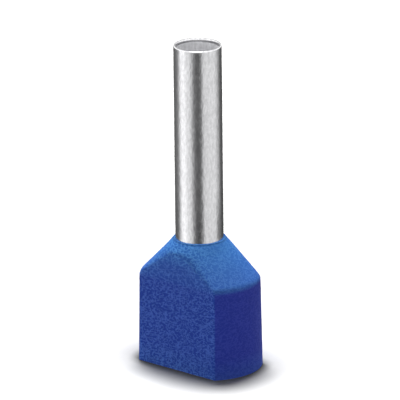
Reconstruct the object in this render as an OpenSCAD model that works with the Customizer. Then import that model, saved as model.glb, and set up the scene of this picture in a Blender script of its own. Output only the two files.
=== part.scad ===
// Twin wire ferrule for two 2.5 mm2 stranded conductors.
// A tinned copper sleeve is held by its flared end in a moulded plastic collar.
// The ferrule stands on the mouth of the collar: Z runs up the sleeve, X across the two conductors.

/* [Sleeve] */
// Bore of the sleeve, which takes both bare conductors
sleeve_bore_d = 2.8; // [2.2:0.1:3.2]
// Wall of the sleeve
sleeve_wall = 0.16; // [0.1:0.01:0.24]
// Length of the sleeve that stands out of the collar
sleeve_free_l = 13; // [6:0.5:20]
// Height of the flared end, which lies inside the collar from its neck down
flare_l = 1.5; // [0.8:0.1:1.8]
// How far the flared end opens out on each side
flare_out = 0.3; // [0.1:0.05:0.35]

/* [Collar] */
// Inside width of the mouth, across the two conductors
entry_w = 7.8; // [7:0.1:9]
// Inside depth of the mouth
entry_d = 4.2; // [4:0.1:4.8]
// Wall of the collar
collar_wall = 0.25; // [0.2:0.01:0.4]
// Height of the whole collar
collar_h = 8.5; // [8:0.1:12]
// Height of the upright walls, up to the shoulder
shoulder_h = 6; // [5:0.1:6.5]
// Draft of the upright walls on each side, in degrees
draft = 0.85; // [0:0.05:1.5]
// Radius of the two rounded ends
end_r = 3.6; // [3:0.1:6]
// Radius of the upright corners between the flat sides and the rounded ends
corner_r = 0.2; // [0.1:0.05:0.5]
// How far the rounding of the shoulder reaches above it and below it
shoulder_round = 0.2; // [0.05:0.01:0.5]
// Height of the cone around the neck, above the slopes
neck_cone_h = 0.6; // [0.2:0.05:0.8]
// How far that cone spreads on each side
neck_cone_out = 0.5; // [0.2:0.05:0.55]
// How far the rounding between the slopes and the cone reaches
neck_round = 0.15; // [0.05:0.01:0.2]
// Rim of the neck around the sleeve
neck_rim = 0.12; // [0.08:0.01:0.2]
// Rounding of the outer edge of the mouth
mouth_edge_r = 0.05; // [0.02:0.01:0.1]

/* [Funnel] */
// Height of the funnel that leads the strands into the sleeve
funnel_l = 1.5; // [1:0.1:2]
// Chamfer of the inner edge of the mouth
lead_in = 0.08; // [0.02:0.01:0.12]
// Gap between the sleeve and its seat in the collar
seat_gap = 0.01; // [0.005:0.005:0.04]

/* [Hidden] */
$fn = 96;

// Angle between neighbouring points around the ends of the collar
turn_step = 5;
// Half of the short edge in which each flat side ends at a round neck, seen from the axis
apex_turn = 2;
// Steps in the rounding of a bend, and in that of the mouth's edge
bend_steps = 6;
edge_steps = 3;
// How far a cut runs past the face that it opens
cut = 0.5;

bore_r = sleeve_bore_d / 2;
sleeve_r = bore_r + sleeve_wall;
flare_bore_r = bore_r + flare_out;
flare_r = sleeve_r + flare_out;
seat_r = sleeve_r + seat_gap;
neck_r = seat_r + neck_rim;
cone_r = neck_r + neck_cone_out;
cone_z = collar_h - neck_cone_h;
total_h = collar_h + sleeve_free_l;
flare_z = collar_h - flare_l;
seat_z = flare_z - seat_gap;
funnel_z = seat_z - funnel_l;
half_w = entry_w / 2 + collar_wall;
half_d = entry_d / 2 + collar_wall;

// Directions in which one rounded end faces, from one flat side to the other
end_turns = [for (t = [-90 : turn_step : 90]) t];

// Point of a rounded end that faces direction t: on the end's own arc, or on the corner beside it
function end_point(t, w, d, r, c) =
    let (arc_turn = asin((d - c) / (r - c)), arc_x = w - r)
    abs(t) <= arc_turn
        ? [arc_x + r * cos(t), r * sin(t)]
        : [arc_x + (r - c) * cos(arc_turn) + c * cos(t), sign(t) * (d - c) + c * sin(t)];

// Outline of the upright walls at height z, moved in by an inset and by the draft:
// two rounded ends, joined by flat sides
function wall_ring(z, inset) =
    let (move = inset + z * tan(draft), c = max(corner_r - inset, corner_r / 2))
    [for (side = [1, -1]) for (t = end_turns)
        let (p = side * end_point(t, half_w - move, half_d - move, end_r - move, c))
        [p.x, p.y, z]];

// Round outline at height z, with one point for each point of wall_ring()
function round_ring(z, r) =
    let (squeeze = (90 - apex_turn) / 90)
    [for (side = [1, -1]) for (t = end_turns)
        [side * r * cos(t * squeeze), side * r * sin(t * squeeze), z]];

// Outline that lies a share of the way from one to another
function blend(a, b, share) = [for (i = [0 : len(a) - 1]) a[i] + (b[i] - a[i]) * share];

// Outlines that round the bend at the middle one of three: a parabola starts a reach below it,
// ends a reach above it and runs into both sides without a kink
function bend(low, middle, high, reach) =
    let (z = middle[0].z,
         below = blend(middle, low, reach / (z - low[0].z)),
         above = blend(middle, high, reach / (high[0].z - z)))
    [for (i = [0 : bend_steps])
        let (share = i / bend_steps)
        blend(blend(below, middle, share), blend(middle, above, share), share)];

// Closed solid through a stack of outlines that all have the same number of points
module loft(rings) {
    n = len(rings[0]);
    last = len(rings) - 1;
    points = [for (ring = rings) each ring];
    sides = [for (k = [0 : last - 1]) for (i = [0 : n - 1])
        let (j = (i + 1) % n)
        each [[k * n + i, (k + 1) * n + i, (k + 1) * n + j],
              [k * n + i, (k + 1) * n + j, k * n + j]]];
    floor_face = [for (i = [0 : n - 1]) i];
    roof_face = [for (i = [n - 1 : -1 : 0]) last * n + i];
    polyhedron(points, concat([floor_face], sides, [roof_face]));
}

// Outside of the collar: mouth edge, upright walls, shoulder, slopes, and the cone up to the neck
module collar_outside() {
    mouth_edge = [for (i = [0 : edge_steps])
        let (t = 90 * i / edge_steps)
        wall_ring(mouth_edge_r * (1 - cos(t)), mouth_edge_r * (1 - sin(t)))];
    mouth = wall_ring(0, 0);
    shoulder = wall_ring(shoulder_h, 0);
    cone_foot = round_ring(cone_z, cone_r);
    neck = round_ring(collar_h, neck_r);
    loft(concat(
        mouth_edge,
        bend(mouth, shoulder, cone_foot, shoulder_round),
        bend(shoulder, cone_foot, neck, neck_round),
        [neck]));
}

// Inside of the collar: chamfered mouth, room for two insulated conductors side by side,
// and a funnel that ends flush with the inner edge of the flared sleeve
module collar_inside() {
    mouth = wall_ring(0, collar_wall - lead_in);
    top = wall_ring(funnel_z, collar_wall);
    funnel_end = round_ring(flare_z, flare_bore_r);
    loft(concat(
        [wall_ring(-cut, collar_wall - lead_in), mouth, wall_ring(lead_in, collar_wall)],
        bend(mouth, top, funnel_end, shoulder_round),
        [funnel_end]));
}

// Seat of the sleeve: a ledge under the flared end, a cone around it, and the rim of the neck
module sleeve_seat() {
    rotate_extrude()
        polygon([[0, seat_z], [flare_r + seat_gap, seat_z], [flare_r + seat_gap, flare_z],
                 [seat_r, collar_h], [seat_r, collar_h + cut], [0, collar_h + cut]]);
}

module collar() {
    color("#2c3f8f")
        difference() {
            collar_outside();
            collar_inside();
            sleeve_seat();
        }
}

// Half section of the sleeve: straight tube, rounded lip at the free end, flare at the held end
module sleeve_section() {
    lip_z = total_h - sleeve_wall / 2;
    translate([bore_r, collar_h])
        square([sleeve_wall, lip_z - collar_h]);
    translate([bore_r + sleeve_wall / 2, lip_z])
        circle(d = sleeve_wall);
    polygon([[bore_r, collar_h], [flare_bore_r, flare_z], [flare_r, flare_z], [sleeve_r, collar_h]]);
}

module sleeve() {
    color("#c9cbcb")
        rotate_extrude()
            sleeve_section();
}

collar();
sleeve();
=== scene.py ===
import math
import bpy
import numpy as np
from mathutils import Matrix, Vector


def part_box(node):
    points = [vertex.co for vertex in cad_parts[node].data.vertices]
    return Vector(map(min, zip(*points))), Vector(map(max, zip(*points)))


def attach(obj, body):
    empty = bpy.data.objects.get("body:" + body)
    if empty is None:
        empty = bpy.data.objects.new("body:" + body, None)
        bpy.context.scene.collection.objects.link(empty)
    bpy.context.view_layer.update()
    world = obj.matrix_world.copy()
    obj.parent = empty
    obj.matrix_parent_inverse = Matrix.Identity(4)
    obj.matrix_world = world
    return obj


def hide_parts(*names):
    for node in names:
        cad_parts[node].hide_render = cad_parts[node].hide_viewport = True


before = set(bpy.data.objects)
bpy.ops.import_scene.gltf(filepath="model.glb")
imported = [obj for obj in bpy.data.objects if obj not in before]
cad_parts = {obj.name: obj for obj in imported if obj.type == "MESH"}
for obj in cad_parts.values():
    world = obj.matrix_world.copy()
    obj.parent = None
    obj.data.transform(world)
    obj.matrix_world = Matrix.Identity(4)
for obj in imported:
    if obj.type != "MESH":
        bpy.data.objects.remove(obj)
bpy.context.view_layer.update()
print("frame loaded:", sorted(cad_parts))

# A twin wire ferrule stands on the mouth of its collar: a tin plated copper sleeve in a blue
# moulded collar. Everything is in metres, and mm turns a size in millimetres into metres.
mm = 0.001

halfWidth, halfDepth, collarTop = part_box("collar")[1]      # half of the mouth, and the neck's rim
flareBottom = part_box("sleeve")[0][2]                        # the hidden end of the sleeve
flareRadius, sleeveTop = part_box("sleeve")[1][0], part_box("sleeve")[1][2]


def linearColour(hexText):
    # sRGB to linear: each byte over 255, then the sRGB curve undone
    channels = [int(hexText[i:i + 2], 16) / 255 for i in (1, 3, 5)]
    return [c / 12.92 if c <= 0.04045 else ((c + 0.055) / 1.055) ** 2.4 for c in channels] + [1.0]


def addNode(tree, kind, settings=None, links=None):
    # one shader node: settings go to its sockets or attributes,
    # and links join sockets of earlier nodes to its own
    node = tree.nodes.new(kind)
    for key, value in (settings or {}).items():
        if isinstance(key, int) or key in node.inputs:
            node.inputs[key].default_value = value
        else:
            setattr(node, key, value)
    for key, source in (links or {}).items():
        tree.links.new(source, node.inputs[key])
    return node


def newMaterial(name):
    # a node material with nothing in it yet
    material = bpy.data.materials.new(name)
    material.use_nodes = True
    material.node_tree.nodes.clear()
    return material, material.node_tree


def gridMesh(name, points, closeRows, closeColumns):
    # a grid of points, rows by columns, becomes quads between neighbours;
    # a closed side joins its last row or column to the first
    rows, columns = points.shape[:2]
    index = np.arange(rows * columns).reshape(rows, columns)
    if closeRows:
        index = np.vstack([index, index[:1]])
    if closeColumns:
        index = np.hstack([index, index[:, :1]])
    quads = np.stack([index[:-1, :-1], index[:-1, 1:], index[1:, 1:], index[1:, :-1]], axis=-1)
    quads = quads.reshape(-1, 4)
    mesh = bpy.data.meshes.new(name)
    mesh.vertices.add(rows * columns)
    mesh.vertices.foreach_set("co", points.reshape(-1).astype(np.float32))
    mesh.loops.add(quads.size)
    mesh.loops.foreach_set("vertex_index", quads.reshape(-1).astype(np.int32))
    mesh.polygons.add(len(quads))
    mesh.polygons.foreach_set("loop_start", np.arange(0, quads.size, 4, dtype=np.int32))
    mesh.polygons.foreach_set("use_smooth", np.ones(len(quads), dtype=bool))
    mesh.update(calc_edges=True)
    mesh.validate()
    piece = bpy.data.objects.new(name, mesh)
    bpy.context.scene.collection.objects.link(piece)
    return piece


def markPoints(item, name, values):
    # a number on every point of a mesh, in the points' own order, for its material to read
    values = np.ascontiguousarray(values, np.float32).reshape(-1)
    item.data.attributes.new(name, "FLOAT", "POINT").data.foreach_set("value", values)


collarSizes = {
    "wall": 0.25 * mm,
    "draft": math.radians(0.85),    # of each upright wall
    "endRadius": 3.6 * mm,          # of the two rounded ends
    "cornerRadius": 0.2 * mm,       # between the rounded ends and the flat sides
    "shoulderHeight": 6.0 * mm,
    "shoulderReach": 0.2 * mm,      # how far the rounding reaches above and below the shoulder
    "coneHeight": 0.6 * mm,         # of the cone around the neck
    "coneSpread": 0.5 * mm,         # how far it spreads on each side
    "coneReach": 0.15 * mm,         # how far the rounding at its foot reaches
    "neckRim": 0.12 * mm,           # rim of plastic around the sleeve
    "rimEdge": 0.03 * mm,           # rounding of that rim
    "mouthEdge": 0.05 * mm,         # rounding of the mouth's outer edge
    "leadIn": 0.08 * mm,            # chamfer of its inner edge
    "funnelHeight": 1.5 * mm,
    "apexTurn": math.radians(2),    # half of the short edge in which each flat side ends

    "endStep": 2.5,                 # degrees between the points of a rounded end
    "flatPoints": 32,               # points along a flat side
    "bendRows": 13,                 # outlines in a bend, and in the rounding of an edge
    "edgeRows": 7,
    "wallRows": 56,                 # outlines up the wall, the slopes and the cone outside
    "slopeRows": 28,
    "coneRows": 5,
    "seatRows": 12,                 # and down the seat, the funnel and the wall inside
    "funnelRows": 24,
    "cavityRows": 40,

    # painted light and shade: one blue plastic, drawn lighter where it slopes up, near the neck and near the
    # mouth, and darker on the narrow ends
    "blueUpright": "#2c4ba4",
    "blueEndsPaintedShade": "#283799",
    "blueSlopingPaintedLight": "#3c6dbe",
    "blueNeckPaintedLight": "#3e7bc6",
    "leanRange": (0.015, 0.6),      # painted light: how far the surface faces up where the blue starts and ends its change to a lighter blue
    "leanPower": 0.4,               # below 1 most of that change is near its start
    "softPasses": 80,               # passes that soften it over the upper creases
    "endsRange": (0.3, 0.75),       # how far it faces sideways where the ends' darker blue, painted shade, starts and is full
    "footReach": 1.5 * mm,          # painted light: near the mouth, where light comes through the thin wall, the blue is painted clearer
    "footPaintedGlow": 0.25,
    "rimShade": 0.6,                # colour of the neck's rim, which the sleeve keeps in shade
    "rimShadeReach": 0.08 * mm,     # how far below the rim that shade ends
    "grain": 0.22 * mm,             # size of the mould's texture, drawn about twice as coarse as real to show
    "grainDepth": 0.012 * mm,
    "grainDetail": 2.0,
    "grainTwist": 0.2,
    "grainStretch": (0.75, 0.75, 1.1),      # the crests run rather across the walls than up them
    "crestWidth": 0.09,             # how far to both sides of the noise's middle value a crest falls
    "valleyPaintedShade": (0.55, 0.65, 0.85, 1.0),  # painted shade in the valleys and painted highlight on the crests, as a share of the blue
    "crestPaintedHighlight": (2.25, 1.8, 1.38, 1.0),
    "grainOnEnds": 0.4,             # share of the texture on the narrow ends, and on the slopes
    "grainOnSlopes": 0.65,
    "grainFade": (-0.8 * mm, 0.4 * mm),     # from the shoulder, where it starts and ends to fade
    "roughness": 0.75,
    "refraction": 1.49,
    "gloss": 0.08,                  # the texture leaves little of the plastic's own shine
}

endTurns = np.radians(np.arange(-90, 90.01, collarSizes["endStep"]))      # directions that an end faces
flatShares = np.linspace(0, 1, collarSizes["flatPoints"] + 2)[1:-1]


def closeOutline(ends):
    # two ends, the second the first turned half round, joined by evenly spaced points on straight sides
    other = ends * np.array([-1, -1, 1])

    def side(a, b):
        return a[:, -1:] + (b[:, :1] - a[:, -1:]) * flatShares[None, :, None]
    return np.concatenate([ends, side(ends, other), other, side(other, ends)], axis=1)


def wallRings(heights, insets):
    # outlines of the upright walls: an end's arc is its centre plus the end radius in the direction
    # faced, a corner is its own centre plus the corner radius in that direction, and all of them
    # are moved in by the inset and by the height times the draft's tangent
    z = np.asarray(heights, float)[:, None]
    inset = np.broadcast_to(insets, np.shape(heights)).astype(float)[:, None]
    move = inset + z * math.tan(collarSizes["draft"])
    corner = np.maximum(collarSizes["cornerRadius"] - inset, collarSizes["cornerRadius"] / 2)
    radius = collarSizes["endRadius"] - move
    depth = halfDepth - move
    arcX = halfWidth - move - radius
    arcTurn = np.arcsin((depth - corner) / (radius - corner))
    onArc = np.abs(endTurns) <= arcTurn
    cornerX = arcX + (radius - corner) * np.cos(arcTurn)
    x = np.where(onArc, arcX + radius * np.cos(endTurns), cornerX + corner * np.cos(endTurns))
    y = np.where(onArc, radius * np.sin(endTurns),
                 np.sign(endTurns) * (depth - corner) + corner * np.sin(endTurns))
    return closeOutline(np.stack([x, y, z + 0 * x], axis=-1))


def roundRings(heights, radii):
    # round outlines: the radius in each direction faced, with the directions drawn in a little
    # so that each flat side ends in a short edge
    z = np.asarray(heights, float)[:, None]
    radius = np.broadcast_to(radii, np.shape(heights)).astype(float)[:, None]
    squeeze = 1 - collarSizes["apexTurn"] / (math.pi / 2)
    x = radius * np.cos(endTurns * squeeze)
    y = radius * np.sin(endTurns * squeeze)
    return closeOutline(np.stack([x, y, z + 0 * x], axis=-1))


def between(first, last, count):
    # evenly spaced outlines from the first to the last, without the last
    share = np.linspace(0, 1, count, endpoint=False)[:, None, None]
    return first + (last - first) * share


def bend(low, middle, high, reach):
    # outlines that round the bend at the middle one: a parabola that starts and ends a reach from it
    z = middle[0, 0, 2]
    below = middle + (low - middle) * reach / abs(z - low[0, 0, 2])
    above = middle + (high - middle) * reach / abs(high[0, 0, 2] - z)
    share = np.linspace(0, 1, collarSizes["bendRows"])[:, None, None]
    return (1 - share) ** 2 * below + 2 * share * (1 - share) * middle + share ** 2 * above


def quarter():
    # sine and one minus cosine over a quarter turn, for the rounding of an edge
    turn = np.linspace(0, math.pi / 2, collarSizes["edgeRows"])
    return np.sin(turn), 1 - np.cos(turn)


def buildCollar():
    # a stack of outlines, carried up the outside and down the inside, and closed at the mouth
    s = collarSizes
    gap = sleeveSizes["seatGap"]
    seatRadius = flareRadius - sleeveSizes["flareOut"] + gap
    neckRadius = seatRadius + s["neckRim"]
    seatBottom = flareBottom - gap
    sine, rise = quarter()

    # outside, from the mouth up
    mouth = wallRings([0], 0)
    shoulder = wallRings([s["shoulderHeight"]], 0)
    cone = roundRings([collarTop - s["coneHeight"]], neckRadius + s["coneSpread"])
    neck = roundRings([collarTop], neckRadius)
    mouthEdge = wallRings(s["mouthEdge"] * rise, s["mouthEdge"] * (1 - sine))
    shoulderBend = bend(mouth, shoulder, cone, s["shoulderReach"])
    coneBend = bend(shoulder, cone, neck, s["coneReach"])
    edge = s["rimEdge"]
    edgeRadius = neckRadius + s["coneSpread"] * edge / s["coneHeight"]
    rim = roundRings(collarTop - edge * (1 - sine), edgeRadius - (edgeRadius - neckRadius + edge) * rise)
    outside = [mouthEdge,
               between(mouthEdge[-1:], shoulderBend[:1], s["wallRows"])[1:], shoulderBend,
               between(shoulderBend[-1:], coneBend[:1], s["slopeRows"])[1:], coneBend,
               between(coneBend[-1:], rim[:1], s["coneRows"])[1:], rim]

    # inside, from the neck down
    seat = roundRings([collarTop, seatBottom + gap], [seatRadius, flareRadius + gap])
    ledge = roundRings([seatBottom] * 2, [flareRadius + gap, flareRadius - sleeveSizes["wall"]])
    cavityTop = wallRings([seatBottom - s["funnelHeight"]], s["wall"])
    cavityFoot = wallRings([s["leadIn"]], s["wall"])
    funnelBend = bend(cavityFoot, cavityTop, ledge[-1:], s["shoulderReach"])[::-1]
    leadIn = wallRings([0], s["wall"] - s["leadIn"])
    inside = [between(seat[:1], seat[1:], s["seatRows"]), seat[1:], ledge[:1],
              between(ledge[-1:], funnelBend[:1], s["funnelRows"]), funnelBend,
              between(funnelBend[-1:], cavityFoot, s["cavityRows"])[1:], cavityFoot, leadIn]
    points = np.concatenate(outside + inside)
    collar = gridMesh("collarMoulding", points, True, True)

    # for the material's painted light and shade: how much each point slopes, raised to a power and then
    # softened along its outline by taking half of each value and a quarter of both neighbours, and how far it
    # faces sideways
    normals = np.empty((len(collar.data.vertices), 3), np.float32)
    collar.data.vertex_normals.foreach_get("vector", normals.reshape(-1))
    leanLow, leanHigh = s["leanRange"]
    slopePaintedLight = np.clip((normals[:, 2] - leanLow) / (leanHigh - leanLow), 0, 1) ** s["leanPower"]
    slopePaintedLight = slopePaintedLight.reshape(points.shape[:2])
    for _ in range(s["softPasses"]):
        slopePaintedLight = (np.roll(slopePaintedLight, 1, axis=1) + 2 * slopePaintedLight + np.roll(slopePaintedLight, -1, axis=1)) / 4
    markPoints(collar, "slopePaintedLight", slopePaintedLight)
    markPoints(collar, "sideways", np.abs(normals[:, 0]))
    markPoints(collar, "shade", np.interp(points[..., 2], [collarTop - s["rimShadeReach"], collarTop],
                                          [1, s["rimShade"]]))
    return collar


def mouldedPolypropylene():
    # injection moulded polypropylene from a spark eroded mould: a matt blue with a fine texture of winding
    # crests, that looks deeper on upright walls and clearer where it slopes. Its colour holds painted light
    # and shade: a painted highlight on the crests and painted shade in the valleys, and a blue painted
    # lighter where it slopes up, near the neck and near the mouth, and darker on the narrow ends
    size = collarSizes
    material, tree = newMaterial("moulded polypropylene")
    coordinates = addNode(tree, "ShaderNodeTexCoord")
    height = addNode(tree, "ShaderNodeSeparateXYZ", links={"Vector": coordinates.outputs["Object"]})
    slope = addNode(tree, "ShaderNodeAttribute", {"attribute_name": "slopePaintedLight"})
    sideways = addNode(tree, "ShaderNodeAttribute", {"attribute_name": "sideways"})
    # painted shade: on the narrow ends the blue is darker and more violet
    ends = addNode(tree, "ShaderNodeMapRange",
                   {"From Min": size["endsRange"][0], "From Max": size["endsRange"][1]},
                   {"Value": sideways.outputs["Fac"]})
    wall = addNode(tree, "ShaderNodeMix",
                   {"data_type": "RGBA", 6: linearColour(size["blueUpright"]),
                    7: linearColour(size["blueEndsPaintedShade"])},
                   {0: ends.outputs["Result"]})
    # painted light: towards the neck the sloping blue is lighter still
    high = addNode(tree, "ShaderNodeMapRange",
                   {"interpolation_type": "SMOOTHSTEP", "From Min": size["shoulderHeight"],
                    "From Max": collarTop},
                   {"Value": height.outputs["Z"]})
    top = addNode(tree, "ShaderNodeMix",
                  {"data_type": "RGBA", 6: linearColour(size["blueSlopingPaintedLight"]),
                   7: linearColour(size["blueNeckPaintedLight"])},
                  {0: high.outputs["Result"]})
    # painted light: near the mouth the blue is painted clearer
    foot = addNode(tree, "ShaderNodeMapRange",
                   {"From Max": size["footReach"], "To Min": size["footPaintedGlow"], "To Max": 0.0},
                   {"Value": height.outputs["Z"]})
    # painted light: the lighter blue takes over where the surface slopes up, towards the neck and near the
    # mouth
    clearer = addNode(tree, "ShaderNodeMath", {"operation": "MAXIMUM"},
                      {0: slope.outputs["Fac"], 1: high.outputs["Result"]})
    lit = addNode(tree, "ShaderNodeMath", {"operation": "MAXIMUM"},
                  {0: clearer.outputs[0], 1: foot.outputs["Result"]})
    blue = addNode(tree, "ShaderNodeMix", {"data_type": "RGBA"},
                   {0: lit.outputs[0], 6: wall.outputs[2], 7: top.outputs[2]})

    # crests: the noise's middle value runs in winding lines, and the height falls to both sides of them
    stretch = addNode(tree, "ShaderNodeMapping", {"Scale": size["grainStretch"]},
                      {"Vector": coordinates.outputs["Object"]})
    noise = addNode(tree, "ShaderNodeTexNoise",
                    {"Scale": 1 / size["grain"], "Detail": size["grainDetail"],
                     "Distortion": size["grainTwist"]},
                    {"Vector": stretch.outputs["Vector"]})
    middle = addNode(tree, "ShaderNodeMath", {"operation": "SUBTRACT", 1: 0.5}, {0: noise.outputs[0]})
    aside = addNode(tree, "ShaderNodeMath", {"operation": "ABSOLUTE"}, {0: middle.outputs[0]})
    crests = addNode(tree, "ShaderNodeMapRange",
                     {"interpolation_type": "SMOOTHSTEP", "From Max": size["crestWidth"],
                      "To Min": 1.0, "To Max": 0.0},
                     {"Value": aside.outputs[0]})

    # the texture is full on the broad sides and fades on the narrow ends and on the slopes
    onEnds = addNode(tree, "ShaderNodeMapRange", {"To Min": 1.0, "To Max": size["grainOnEnds"]},
                     {"Value": ends.outputs["Result"]})
    onSlopes = addNode(tree, "ShaderNodeMapRange",
                       {"From Min": size["shoulderHeight"] + size["grainFade"][0],
                        "From Max": size["shoulderHeight"] + size["grainFade"][1],
                        "To Min": 1.0, "To Max": size["grainOnSlopes"]},
                       {"Value": height.outputs["Z"]})
    amount = addNode(tree, "ShaderNodeMath", {"operation": "MULTIPLY"},
                     {0: onEnds.outputs["Result"], 1: onSlopes.outputs["Result"]})
    # painted highlight on the crests and painted shade in the valleys
    tint = addNode(tree, "ShaderNodeMix", {"data_type": "RGBA", 6: size["valleyPaintedShade"], 7: size["crestPaintedHighlight"]},
                   {0: crests.outputs["Result"]})
    colour = addNode(tree, "ShaderNodeMix", {"data_type": "RGBA", "blend_type": "MULTIPLY"},
                     {0: amount.outputs[0], 6: blue.outputs[2], 7: tint.outputs[2]})
    rim = addNode(tree, "ShaderNodeAttribute", {"attribute_name": "shade"})
    shaded = addNode(tree, "ShaderNodeMix", {"data_type": "RGBA", "blend_type": "MULTIPLY", 0: 1.0},
                     {6: colour.outputs[2], 7: rim.outputs["Fac"]})
    bump = addNode(tree, "ShaderNodeBump", {"Distance": size["grainDepth"]},
                   {"Strength": amount.outputs[0], "Height": crests.outputs["Result"]})
    shader = addNode(tree, "ShaderNodeBsdfPrincipled",
                     {"Roughness": size["roughness"], "IOR": size["refraction"],
                      "Specular IOR Level": size["gloss"]},
                     {"Base Color": shaded.outputs[2], "Normal": bump.outputs["Normal"]})
    addNode(tree, "ShaderNodeOutputMaterial", links={"Surface": shader.outputs["BSDF"]})
    return material


sleeveSizes = {
    "wall": 0.16 * mm,
    "flareOut": 0.3 * mm,           # how far the hidden end opens out on each side
    "seatGap": 0.01 * mm,           # between the sleeve and its seat in the collar
    "lipEdge": 0.075 * mm,          # rounding of both edges of the lip
    "lipDepth": 0.27 * mm,          # how far that of the inner one reaches down
    "ridgeTurns": (10, 22),         # a thin dark line is drawn on the lip's ridge, which fades between these degrees from its top, and the share of its light that it takes
    "ridgeDark": 0.75,              # these degrees from its top, and the share of its light that it takes
    "underTurns": (50, 62, 75, 90),     # another starts, is full and ends low on the inner rounding
    "underDark": 0.45,

    "flareRows": 9,                 # rings up the flare, up the tube and round both edges of the lip
    "tubeRows": 60,
    "edgeRows": 9,
    "innerEdgeRows": 13,
    "aroundPoints": 256,

    "tinLight": "#dadadc",
    "tinDark": "#cacacc",
    "tinRange": (0.35, 0.65),       # values of the noise where the tin is darkest and lightest
    "grain": 0.16 * mm,             # unevenness of the plating, drawn several times as coarse as real
    "grainStretch": (1.0, 1.0, 0.45),       # drawn out along the tube
    "grainDetail": 2.0,
    "grainDepth": 0.01 * mm,
    "grainDull": 0.08,              # how much duller its crests are
    "roughOutside": 0.15,
    "roughBore": 0.8,               # the drawn inside is duller
}


def buildSleeve():
    # a half section carried round the axis: up the flare and the tube outside, over a quarter circle
    # at the lip's outer edge and a longer quarter ellipse at its inner one, and down the bore
    s = sleeveSizes
    outer = flareRadius - s["flareOut"]
    bore = outer - s["wall"]
    lipHeight = sleeveTop - s["lipEdge"]
    boreTop = sleeveTop - s["lipDepth"]
    edge = np.linspace(0, math.pi / 2, s["edgeRows"])
    innerEdge = np.linspace(0, math.pi / 2, s["innerEdgeRows"])
    flareRise = np.linspace(0, 1, s["flareRows"], endpoint=False)
    tubeRise = np.linspace(0, 1, s["tubeRows"], endpoint=False)
    flareFall = np.append(flareRise, 1)
    radius = np.concatenate([
        flareRadius - s["flareOut"] * flareRise,
        outer + 0 * tubeRise,
        outer - s["lipEdge"] * (1 - np.cos(edge)),
        bore + s["lipEdge"] * (1 - np.sin(innerEdge)),
        bore + 0 * tubeRise[1:],
        bore + s["flareOut"] * flareFall])
    height = np.concatenate([
        flareBottom + (collarTop - flareBottom) * flareRise,
        collarTop + (lipHeight - collarTop) * tubeRise,
        lipHeight + s["lipEdge"] * np.sin(edge),
        boreTop + s["lipDepth"] * np.cos(innerEdge),
        boreTop + (collarTop - boreTop) * tubeRise[1:],
        collarTop + (flareBottom - collarTop) * flareFall])
    turn = np.linspace(0, 2 * math.pi, s["aroundPoints"], endpoint=False)
    points = np.stack([radius[:, None] * np.cos(turn), radius[:, None] * np.sin(turn),
                       height[:, None] + 0 * turn], axis=-1)
    sleeve = gridMesh("tinnedSleeve", points, True, True)

    # for the material: where the bore is, and how dark the lines on the lip are
    inBore = (radius < outer - s["wall"] / 2) & (height <= boreTop)
    fromTop = np.degrees(np.concatenate([math.pi / 2 - edge, innerEdge]))
    ridge = np.interp(fromTop, s["ridgeTurns"], [s["ridgeDark"], 0])
    under = np.interp(np.degrees(innerEdge), s["underTurns"], [0, s["underDark"], s["underDark"], 0])
    lines = np.zeros(len(radius))
    lipStart = len(flareRise) + len(tubeRise)
    lines[lipStart:lipStart + len(ridge)] = ridge + np.append(0 * edge, under)
    markPoints(sleeve, "bore", np.repeat(inBore, len(turn)))
    markPoints(sleeve, "lipLine", np.repeat(lines, len(turn)))
    return sleeve


def tinnedCopper():
    # tin plate on drawn copper: bright and slightly soft, with a fine unevenness drawn out along the
    # tube, and thin dark lines drawn on its lip
    size = sleeveSizes
    material, tree = newMaterial("tin plated copper")
    coordinates = addNode(tree, "ShaderNodeTexCoord")
    along = addNode(tree, "ShaderNodeMapping", {"Scale": size["grainStretch"]},
                    {"Vector": coordinates.outputs["Object"]})
    uneven = addNode(tree, "ShaderNodeTexNoise", {"Scale": 1 / size["grain"], "Detail": size["grainDetail"]},
                     {"Vector": along.outputs["Vector"]})
    bump = addNode(tree, "ShaderNodeBump", {"Strength": 1.0, "Distance": size["grainDepth"]},
                   {"Height": uneven.outputs[0]})
    bore = addNode(tree, "ShaderNodeAttribute", {"attribute_name": "bore"})
    dull = addNode(tree, "ShaderNodeMapRange", {"To Min": size["roughOutside"], "To Max": size["roughBore"]},
                   {"Value": bore.outputs["Fac"]})
    soft = addNode(tree, "ShaderNodeMath", {"operation": "MULTIPLY_ADD", 1: size["grainDull"]},
                   {0: uneven.outputs[0], 2: dull.outputs["Result"]})
    patch = addNode(tree, "ShaderNodeMapRange",
                    {"From Min": size["tinRange"][0], "From Max": size["tinRange"][1]},
                    {"Value": uneven.outputs[0]})
    tone = addNode(tree, "ShaderNodeMix",
                   {"data_type": "RGBA", 6: linearColour(size["tinDark"]), 7: linearColour(size["tinLight"])},
                   {0: patch.outputs["Result"]})
    lipLine = addNode(tree, "ShaderNodeAttribute", {"attribute_name": "lipLine"})
    kept = addNode(tree, "ShaderNodeMath", {"operation": "SUBTRACT", 0: 1.0}, {1: lipLine.outputs["Fac"]})
    lined = addNode(tree, "ShaderNodeMix", {"data_type": "RGBA", "blend_type": "MULTIPLY", 0: 1.0},
                    {6: tone.outputs[2], 7: kept.outputs[0]})
    shader = addNode(tree, "ShaderNodeBsdfPrincipled", {"Metallic": 1.0},
                     {"Base Color": lined.outputs[2], "Roughness": soft.outputs[0],
                      "Normal": bump.outputs["Normal"]})
    addNode(tree, "ShaderNodeOutputMaterial", links={"Surface": shader.outputs["BSDF"]})
    return material


collar = buildCollar()
collar.data.materials.append(mouldedPolypropylene())
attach(collar, "root")
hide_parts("collar")
print("collar built:", len(collar.data.polygons), "faces")

sleeve = buildSleeve()
sleeve.data.materials.append(tinnedCopper())
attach(sleeve, "root")
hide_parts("sleeve")
sleeve.visible_shadow = False     # light wraps round so thin a tube, and it throws no shadow of its own
print("sleeve built:", len(sleeve.data.polygons), "faces")

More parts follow.
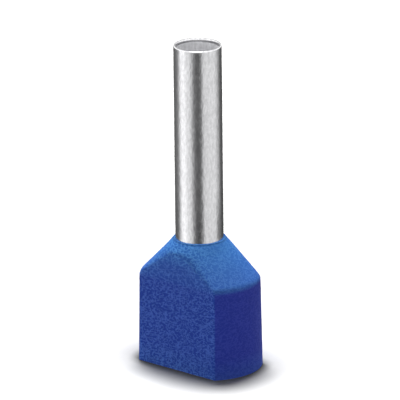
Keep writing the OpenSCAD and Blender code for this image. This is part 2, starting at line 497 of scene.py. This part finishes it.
studio = {
    "azimuth": math.radians(42.0),      # of the camera, from the front of a broad side to a narrow one
    "elevation": math.radians(18.23),
    "roll": math.radians(-0.62),
    "distance": 0.9,
    "frameWidth": 25.9 * mm,            # width seen at the object
    "aimRight": 0.056 * mm,             # where the camera aims, from the middle of the mouth
    "aimUp": 10.438 * mm,
    "floorSize": 6.0,
    "floorWhite": 0.9,
    "wideShade": (3.6 * mm, 0.29),      # painted shadow: the floor darkens near the ferrule: how far this reaches,
    "closeShade": (0.8 * mm, 0.35),     # and the openness at which it is black
    "floorGlow": 0.03,                  # what is seen of the floor beside its lit colour
    "floorThrown": 0.3,                 # share of the light that it throws back on the ferrule
    "floorBounce": 0.8,                 # what it sends up beside that, shade or not
    "worldFill": 0.02,
    "softboxDistance": 2.0,
    "softboxes": {                      # degrees right of the camera, height in degrees, width, watts
        "softboxBehind": (183, 69.3, 0.9, 57.0),
        "softboxLeft": (-80, 25, 1.2, 4.0),
    },
    "tentRadius": 13 * mm,
    "tentPoints": 721,                  # points round it, every half degree
    "tentRows": [(0, "low"), (5.5 * mm, "low"), (8 * mm, "middle"), (20 * mm, "middle"),
                 (22 * mm, "roof"), (60 * mm, "roof")],     # heights, and the cloth there
    "tentStops": {                      # degrees right of the camera, and brightness there
        "low": [(-180, 0.2), (-150, 0.12), (-124, 0.14), (-112, 0.2), (-103, 0.4), (-96, 0.75),
                (-90, 1.1), (-84, 1.4), (-66, 1.5), (-56, 1.15), (-42, 1.05), (-32, 0.8), (-20, 0.2),
                (-8, 0.08), (8, 0.08), (16, 0.35), (26, 0.95), (80, 0.95), (84, 0.85), (90, 0.5),
                (97, 0.25), (111, 0.2), (119, 0.15), (129, 0.08), (160, 0.08), (180, 0.2)],
        "middle": [(-180, 0.2), (-150, 0.12), (-124, 0.18), (-112, 0.26), (-103, 0.42), (-96, 0.75),
                   (-90, 1.1), (-84, 1.4), (-66, 1.5), (-56, 1.15), (-42, 1.05), (-32, 0.8),
                   (-20, 0.27), (-8, 0.13), (8, 0.13), (16, 0.4), (26, 0.95), (80, 1.05), (86, 0.95),
                   (97, 0.68), (104, 0.55), (111, 0.35), (119, 0.17), (129, 0.1), (160, 0.1),
                   (180, 0.2)],
        "roof": [(-180, 1.5), (180, 1.5)]},
}


def cameraAxes(azimuth, elevation, roll):
    # back points from the object to the camera, right lies level and up is back cross right;
    # the roll then turns right and up about back by its cosine and sine
    back = np.array([math.sin(azimuth) * math.cos(elevation), -math.cos(azimuth) * math.cos(elevation),
                     math.sin(elevation)])
    right = np.array([math.cos(azimuth), math.sin(azimuth), 0.0])
    up = np.cross(back, right)
    return right * math.cos(roll) + up * math.sin(roll), up * math.cos(roll) - right * math.sin(roll), back


def setAt(item, origin, back, up):
    # the item's +Z takes the direction back, its +X is up cross back, and its +Y is back cross +X
    right = np.cross(up, back)
    right /= np.linalg.norm(right)
    up = np.cross(back, right)
    rows = [[right[i], up[i], back[i], origin[i]] for i in range(3)]
    item.matrix_world = Matrix(rows + [[0, 0, 0, 1]])
    bpy.context.scene.collection.objects.link(item)


def addCamera():
    # it stands the distance back from its aim, with the lens that sees the frame's width there
    _, up, back = cameraAxes(studio["azimuth"], studio["elevation"], studio["roll"])
    levelRight, levelUp, _ = cameraAxes(studio["azimuth"], studio["elevation"], 0)
    aim = levelRight * studio["aimRight"] + levelUp * studio["aimUp"]
    data = bpy.data.cameras.new("camera")
    data.sensor_width = 36.0
    data.lens = data.sensor_width * studio["distance"] / studio["frameWidth"]
    data.clip_start = 0.01
    camera = bpy.data.objects.new("camera", data)
    setAt(camera, aim + back * studio["distance"], back, up)
    bpy.context.scene.camera = camera


def addSoftboxes():
    # round softboxes that face the ferrule
    for name, (turn, height, size, power) in studio["softboxes"].items():
        _, up, back = cameraAxes(studio["azimuth"] + math.radians(turn), math.radians(height), 0)
        data = bpy.data.lights.new(name, "AREA")
        data.shape = "DISK"
        data.size = size
        data.energy = power
        setAt(bpy.data.objects.new(name, data), back * studio["softboxDistance"], back, up)


def seenRays(tree):
    # 1 for camera, glossy and transmission rays, 0 for the rest
    path = addNode(tree, "ShaderNodeLightPath")
    seen = addNode(tree, "ShaderNodeMath", {"operation": "MAXIMUM"},
                   {0: path.outputs["Is Camera Ray"], 1: path.outputs["Is Glossy Ray"]})
    return addNode(tree, "ShaderNodeMath", {"operation": "MAXIMUM"},
                   {0: seen.outputs[0], 1: path.outputs["Is Transmission Ray"]}).outputs[0]


def addFloor():
    # white paper: what is seen of it is a lit white times a painted shadow, a wide and a close darkening near
    # the ferrule, with a little glow, and what it gives the ferrule is an even light that this darkening
    # leaves alone
    material, tree = newMaterial("white paper")
    seen = seenRays(tree)
    wideReach, wideBlack = studio["wideShade"]
    closeReach, closeBlack = studio["closeShade"]
    wide = addNode(tree, "ShaderNodeAmbientOcclusion", {"Distance": wideReach})
    close = addNode(tree, "ShaderNodeAmbientOcclusion", {"Distance": closeReach})
    wideTone = addNode(tree, "ShaderNodeMapRange", {"From Min": wideBlack, "To Max": studio["floorWhite"]},
                       {"Value": wide.outputs["AO"]})
    closeTone = addNode(tree, "ShaderNodeMapRange", {"From Min": closeBlack}, {"Value": close.outputs["AO"]})
    tone = addNode(tree, "ShaderNodeMath", {"operation": "MULTIPLY"},
                   {0: wideTone.outputs["Result"], 1: closeTone.outputs["Result"]})
    tint = addNode(tree, "ShaderNodeMix", {"data_type": "FLOAT", 2: studio["floorThrown"]},
                   {0: seen, 3: tone.outputs[0]})
    paper = addNode(tree, "ShaderNodeBsdfDiffuse", links={"Color": tint.outputs[0]})
    strength = addNode(tree, "ShaderNodeMapRange",
                       {"To Min": studio["floorBounce"], "To Max": studio["floorGlow"]}, {"Value": seen})
    glow = addNode(tree, "ShaderNodeEmission", links={"Strength": strength.outputs["Result"]})
    both = addNode(tree, "ShaderNodeAddShader", links={0: paper.outputs[0], 1: glow.outputs[0]})
    addNode(tree, "ShaderNodeOutputMaterial", links={"Surface": both.outputs[0]})
    half = studio["floorSize"] / 2
    corners = np.array([[[-half, -half, 0], [half, -half, 0]], [[-half, half, 0], [half, half, 0]]])
    floor = gridMesh("floor", corners, False, False)
    floor.data.materials.append(material)


def addTent():
    # a light tent that only reflections see, a circle round the ferrule carried upwards: below, white
    # cloth and black flags whose brightness runs evenly from stop to stop, above, bright cloth all round
    turn = np.linspace(-180, 180, studio["tentPoints"])
    across = np.array([math.cos(studio["azimuth"]), math.sin(studio["azimuth"])])
    toward = np.array([math.sin(studio["azimuth"]), -math.cos(studio["azimuth"])])
    angle = np.radians(turn)[:, None]
    ground = studio["tentRadius"] * (toward * np.cos(angle) + across * np.sin(angle))
    rows = studio["tentRows"]
    points = np.stack([np.column_stack([ground, np.full(len(turn), height)]) for height, _ in rows])
    tent = gridMesh("tent", points, False, False)
    brightness = [np.interp(turn, *zip(*studio["tentStops"][cloth])) for _, cloth in rows]
    markPoints(tent, "brightness", np.concatenate(brightness))
    material, tree = newMaterial("tent cloth")
    shade = addNode(tree, "ShaderNodeAttribute", {"attribute_name": "brightness"})
    cloth = addNode(tree, "ShaderNodeEmission", links={"Strength": shade.outputs["Fac"]})
    addNode(tree, "ShaderNodeOutputMaterial", links={"Surface": cloth.outputs[0]})
    tent.data.materials.append(material)
    tent.visible_camera = tent.visible_diffuse = tent.visible_shadow = tent.visible_transmission = False


def addWorld():
    # white where it is seen, a dimmer fill where it lights
    world = bpy.data.worlds.new("studio")
    world.use_nodes = True
    tree = world.node_tree
    tree.nodes.clear()
    strength = addNode(tree, "ShaderNodeMapRange", {"To Min": studio["worldFill"]}, {"Value": seenRays(tree)})
    sky = addNode(tree, "ShaderNodeBackground", {"Color": [1.0] * 4}, {"Strength": strength.outputs[0]})
    addNode(tree, "ShaderNodeOutputWorld", links={"Surface": sky.outputs[0]})
    bpy.context.scene.world = world


addCamera()
addSoftboxes()
addFloor()
addTent()
addWorld()
bpy.context.scene.view_settings.view_transform = "Standard"
print("studio set")
